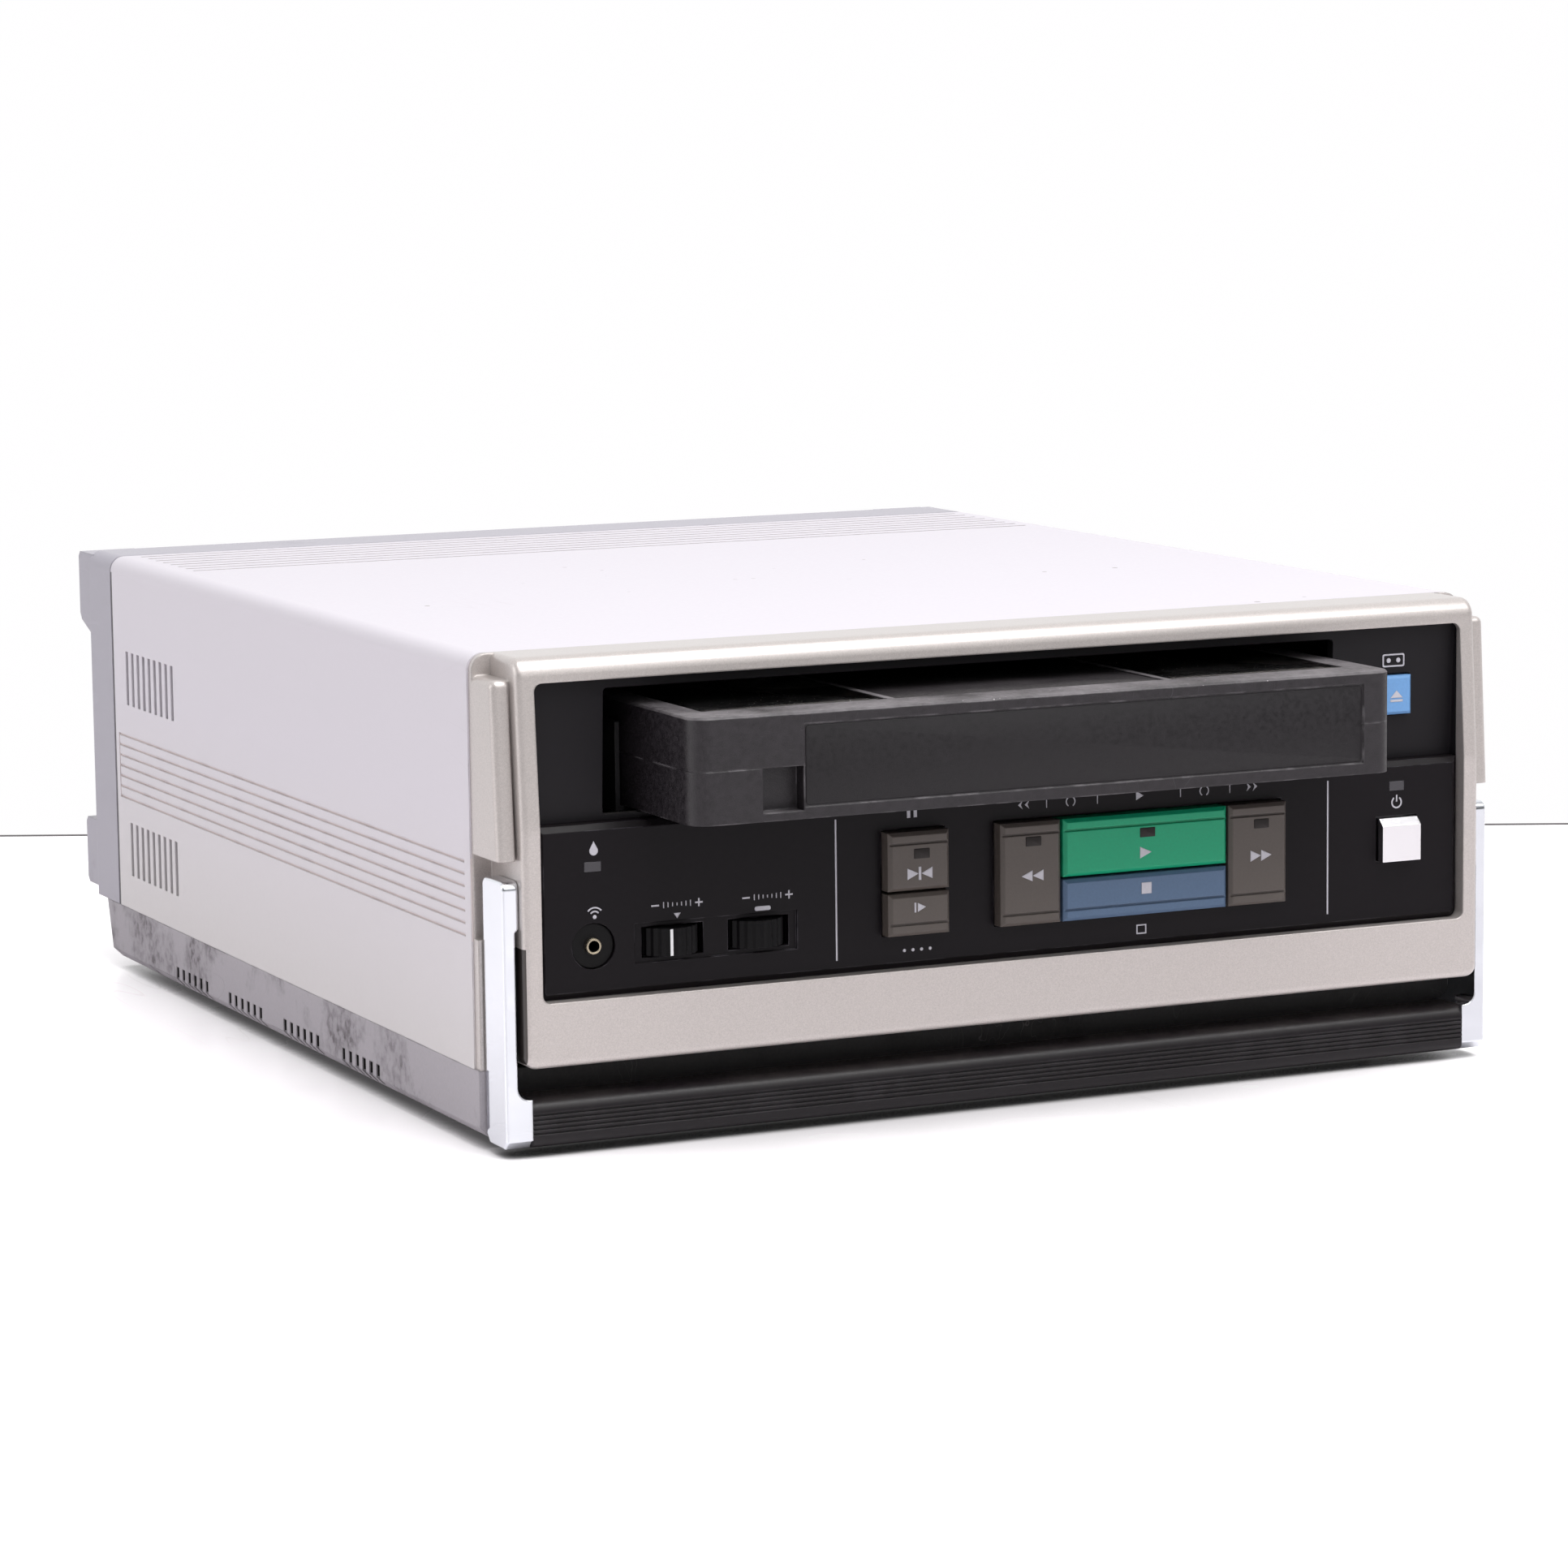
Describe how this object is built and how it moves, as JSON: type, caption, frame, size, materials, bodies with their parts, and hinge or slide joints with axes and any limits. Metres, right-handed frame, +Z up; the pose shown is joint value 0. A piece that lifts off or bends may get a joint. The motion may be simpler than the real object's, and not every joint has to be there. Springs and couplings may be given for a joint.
{
  "type": "video cassette recorder",
  "caption": "Front-loading video cassette recorder with folding carrying handle, transport keys, cassette half inserted, and tape deck inside.",
  "frame": {"origin": "middle of the recorder's footprint, on the plane its four feet stand on", "axes": "+X to the right seen from the front, +Y from the front to the back, +Z up"},
  "size_m": [0.27, 0.35, 0.1175],
  "materials": {
    "cover_paint": "satin light grey paint",
    "bezel_plastic": "champagne silver paint",
    "rear_plastic": "fine texture",
    "base_plastic": "fine texture, scuffed",
    "foot_rubber": "matte",
    "screw_steel": "bright zinc",
    "panel_black": "satin",
    "slot_black": "matte",
    "lens_dark": "smoked",
    "key_taupe": "satin",
    "key_green": "satin",
    "key_blue": "satin",
    "eject_blue": "satin",
    "power_silver": "satin, mirror-like bevel",
    "socket_metal": "nickel",
    "inlet_black": "moulded",
    "handle_chrome": "polished",
    "grip_black": "satin",
    "board_green": "lacquered board",
    "control_grey": "moulded",
    "chassis_steel": "zinc plated",
    "drum_aluminium": "turned",
    "deck_steel": "ground",
    "head_metal": "polished face",
    "bearing_brass": "turned",
    "roller_rubber": "ground",
    "table_plastic": "white moulding",
    "heat_black": "black anodised",
    "core_steel": "varnished laminations",
    "cassette_black": "fine texture",
    "reel_white": "moulded",
    "tape_brown": "coated film"
  },
  "bodies": {
    "housing": {"top_cover": "cover_paint", "base_pan": "base_plastic", "rubber_feet": "foot_rubber", "rear_frame": "rear_plastic", "front_bezel": "bezel_plastic", "upper_panel": "slot_black", "control_panel": "panel_black", "lamp_lenses": "lens_dark", "rear_panel": "rear_plastic", "coax_sockets": "socket_metal", "phono_sockets": "socket_metal", "mains_inlet": "inlet_black", "rf_converter": "chassis_steel", "wheel_controls": "control_grey", "remote_jack": "inlet_black", "switch_board": "board_green", "handle_pins": "screw_steel", "deck_chassis": "chassis_steel", "carriage_brackets": "chassis_steel", "cassette_holder": "chassis_steel", "lower_drum": "drum_aluminium", "deck_posts": "deck_steel", "erase_head": "head_metal", "sound_head": "head_metal", "capstan_housing": "bearing_brass", "loading_motor": "chassis_steel", "main_board": "board_green", "power_board": "board_green", "heat_sink": "heat_black", "power_transformer": "core_steel", "door_hangers": "slot_black"},
    "handle": {"handle_arm_left": "handle_chrome", "handle_arm_right": "handle_chrome", "handle_grip": "grip_black"},
    "still_key": {"still_button": "key_taupe"},
    "slow_key": {"slow_button": "key_taupe"},
    "rewind_key": {"rewind_button": "key_taupe"},
    "play_key": {"play_button": "key_green"},
    "stop_key": {"stop_button": "key_blue"},
    "forward_key": {"forward_button": "key_taupe"},
    "power_key": {"power_button": "power_silver"},
    "eject_key": {"eject_button": "eject_blue"},
    "tracking_dial": {"tracking_wheel": "key_taupe"},
    "slow_tracking_dial": {"slow_tracking_wheel": "key_taupe"},
    "cassette": {"cassette_lower_shell": "cassette_black", "cassette_upper_shell": "cassette_black", "cassette_flap": "cassette_black", "supply_reel": "reel_white", "takeup_reel": "reel_white", "magnetic_tape": "tape_brown"},
    "door": {"cassette_door": "slot_black"},
    "head_wheel": {"head_drum": "drum_aluminium"},
    "capstan_wheel": {"capstan": "deck_steel"},
    "supply_side": {"supply_table": "table_plastic"},
    "takeup_side": {"takeup_table": "table_plastic"},
    "pinch_lever": {"pinch_arm": "deck_steel"},
    "pinch_wheel": {"pinch_roller": "roller_rubber"}
  },
  "joints": [
    {"name": "handle_swing", "type": "hinge", "parent": "housing", "child": "handle", "pos_m": [0, -0.1405, 0.0599], "axis": [-1, 0, 0], "range_deg": [0, 90]},
    {"name": "still_press", "type": "slide", "parent": "housing", "child": "still_key", "axis": [0, 1, 0], "range_m": [0, 0.0015], "stiffness_N_per_m": 600},
    {"name": "slow_press", "type": "slide", "parent": "housing", "child": "slow_key", "axis": [0, 1, 0], "range_m": [0, 0.0015], "stiffness_N_per_m": 600},
    {"name": "rewind_press", "type": "slide", "parent": "housing", "child": "rewind_key", "axis": [0, 1, 0], "range_m": [0, 0.0015], "stiffness_N_per_m": 600},
    {"name": "play_press", "type": "slide", "parent": "housing", "child": "play_key", "axis": [0, 1, 0], "range_m": [0, 0.0015], "stiffness_N_per_m": 600},
    {"name": "stop_press", "type": "slide", "parent": "housing", "child": "stop_key", "axis": [0, 1, 0], "range_m": [0, 0.0015], "stiffness_N_per_m": 600},
    {"name": "forward_press", "type": "slide", "parent": "housing", "child": "forward_key", "axis": [0, 1, 0], "range_m": [0, 0.0015], "stiffness_N_per_m": 600},
    {"name": "power_press", "type": "slide", "parent": "housing", "child": "power_key", "axis": [0, 1, 0], "range_m": [0, 0.0015], "stiffness_N_per_m": 600},
    {"name": "eject_press", "type": "slide", "parent": "housing", "child": "eject_key", "axis": [0, 1, 0], "range_m": [0, 0.0015], "stiffness_N_per_m": 600},
    {"name": "tracking_turn", "type": "hinge", "parent": "housing", "child": "tracking_dial", "pos_m": [-0.091, -0.1427, 0.0488], "axis": [0, 0, 1], "range_deg": [-140, 140]},
    {"name": "slow_tracking_turn", "type": "hinge", "parent": "housing", "child": "slow_tracking_dial", "pos_m": [-0.0688, -0.1427, 0.0488], "axis": [0, 0, 1], "range_deg": [-140, 140]},
    {"name": "cassette_slide", "type": "slide", "parent": "housing", "child": "cassette", "axis": [0, 1, 0], "range_m": [-0.085, 0.03]},
    {"name": "door_swing", "type": "hinge", "parent": "housing", "child": "door", "pos_m": [0, -0.1365, 0.1117], "axis": [1, 0, 0], "range_deg": [0, 6]},
    {"name": "drum_spin", "type": "hinge", "parent": "housing", "child": "head_wheel", "pos_m": [-0.004, 0.018, 0.0485], "axis": [0, -0.0958, 0.9954], "continuous": true},
    {"name": "capstan_spin", "type": "hinge", "parent": "housing", "child": "capstan_wheel", "pos_m": [0.046, -0.022, 0.0425], "axis": [0, 0, 1], "continuous": true},
    {"name": "supply_spin", "type": "hinge", "parent": "housing", "child": "supply_side", "pos_m": [-0.05, -0.08, 0.0447], "axis": [0, 0, 1], "continuous": true},
    {"name": "takeup_spin", "type": "hinge", "parent": "housing", "child": "takeup_side", "pos_m": [0.042, -0.08, 0.0447], "axis": [0, 0, 1], "continuous": true},
    {"name": "pinch_swing", "type": "hinge", "parent": "housing", "child": "pinch_lever", "pos_m": [0.07, -0.012, 0.0555], "axis": [0, 0, 1], "range_deg": [0, 18]},
    {"name": "roller_spin", "type": "hinge", "parent": "pinch_lever", "child": "pinch_wheel", "pos_m": [0.05219, -0.00937, 0.06], "axis": [0, 0, 1], "continuous": true}
  ]
}
